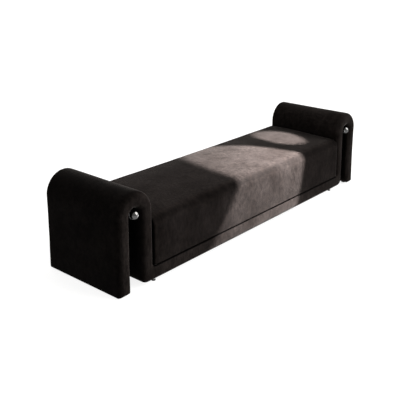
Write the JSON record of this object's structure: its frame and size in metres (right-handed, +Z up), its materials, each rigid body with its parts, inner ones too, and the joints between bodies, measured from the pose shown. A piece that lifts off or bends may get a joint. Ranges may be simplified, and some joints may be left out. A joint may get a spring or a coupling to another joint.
{
  "type": "upholstered bench",
  "caption": "Long low bench in dark pile fabric: a padded ribbon folds down at each end as a slotted arm and runs under a crowned seat block, with steel balls at the slots.",
  "frame": {"origin": "on the floor, under the middle of the bench in length and depth", "axes": "+X along the bench towards its right arm, as seen from the front; -Y is the front; +Z is up"},
  "size_m": [2.6, 0.651, 0.6049],
  "materials": {
    "timber": "matte",
    "plywood": "satin",
    "foam": "matte",
    "pile_fabric": "matte",
    "polished_steel": "polished",
    "nylon": "matte",
    "zinc_plated_steel": "satin",
    "dust_cloth": "matte",
    "webbing": "matte"
  },
  "bodies": {
    "bench": {"left_arm_sills": "timber", "left_arm_ribs": "plywood", "left_arm_battens": "timber", "left_arm_outer_skin": "plywood", "left_arm_slot_skin": "plywood", "left_outer_leg_foam": "foam", "left_crown_foam": "foam", "left_inner_leg_foam": "foam", "left_arm_cover": "pile_fabric", "left_slot_rod": "polished_steel", "left_rod_posts": "polished_steel", "left_rod_screws": "polished_steel", "left_front_ball": "polished_steel", "left_back_ball": "polished_steel", "left_leg_glides": "nylon", "left_arm_bolts": "zinc_plated_steel", "right_arm_sills": "timber", "right_arm_ribs": "plywood", "right_arm_battens": "timber", "right_arm_outer_skin": "plywood", "right_arm_slot_skin": "plywood", "right_outer_leg_foam": "foam", "right_crown_foam": "foam", "right_inner_leg_foam": "foam", "right_arm_cover": "pile_fabric", "right_slot_rod": "polished_steel", "right_rod_posts": "polished_steel", "right_rod_screws": "polished_steel", "right_front_ball": "polished_steel", "right_back_ball": "polished_steel", "right_leg_glides": "nylon", "right_arm_bolts": "zinc_plated_steel", "base_rails": "timber", "base_crossbars": "timber", "base_deck": "plywood", "base_foam": "foam", "base_cover": "pile_fabric", "base_dust_cloth": "dust_cloth", "foot_inserts": "zinc_plated_steel", "seat_frame": "timber", "seat_webbing": "webbing", "seat_foam": "foam", "seat_cover": "pile_fabric", "seat_bolts": "zinc_plated_steel"},
    "front_left_foot": {"front_left_stud": "zinc_plated_steel", "front_left_pad": "nylon"},
    "front_right_foot": {"front_right_stud": "zinc_plated_steel", "front_right_pad": "nylon"},
    "back_left_foot": {"back_left_stud": "zinc_plated_steel", "back_left_pad": "nylon"},
    "back_right_foot": {"back_right_stud": "zinc_plated_steel", "back_right_pad": "nylon"},
    "front_middle_foot": {"front_middle_stud": "zinc_plated_steel", "front_middle_pad": "nylon"},
    "back_middle_foot": {"back_middle_stud": "zinc_plated_steel", "back_middle_pad": "nylon"}
  },
  "joints": [
    {"name": "front_left_foot_screw", "type": "slide", "parent": "bench", "child": "front_left_foot", "axis": [0, 0, -1], "range_m": [0, 0.012]},
    {"name": "front_right_foot_screw", "type": "slide", "parent": "bench", "child": "front_right_foot", "axis": [0, 0, -1], "range_m": [0, 0.012]},
    {"name": "back_left_foot_screw", "type": "slide", "parent": "bench", "child": "back_left_foot", "axis": [0, 0, -1], "range_m": [0, 0.012]},
    {"name": "back_right_foot_screw", "type": "slide", "parent": "bench", "child": "back_right_foot", "axis": [0, 0, -1], "range_m": [0, 0.012]},
    {"name": "front_middle_foot_screw", "type": "slide", "parent": "bench", "child": "front_middle_foot", "axis": [0, 0, -1], "range_m": [0, 0.012]},
    {"name": "back_middle_foot_screw", "type": "slide", "parent": "bench", "child": "back_middle_foot", "axis": [0, 0, -1], "range_m": [0, 0.012]}
  ]
}
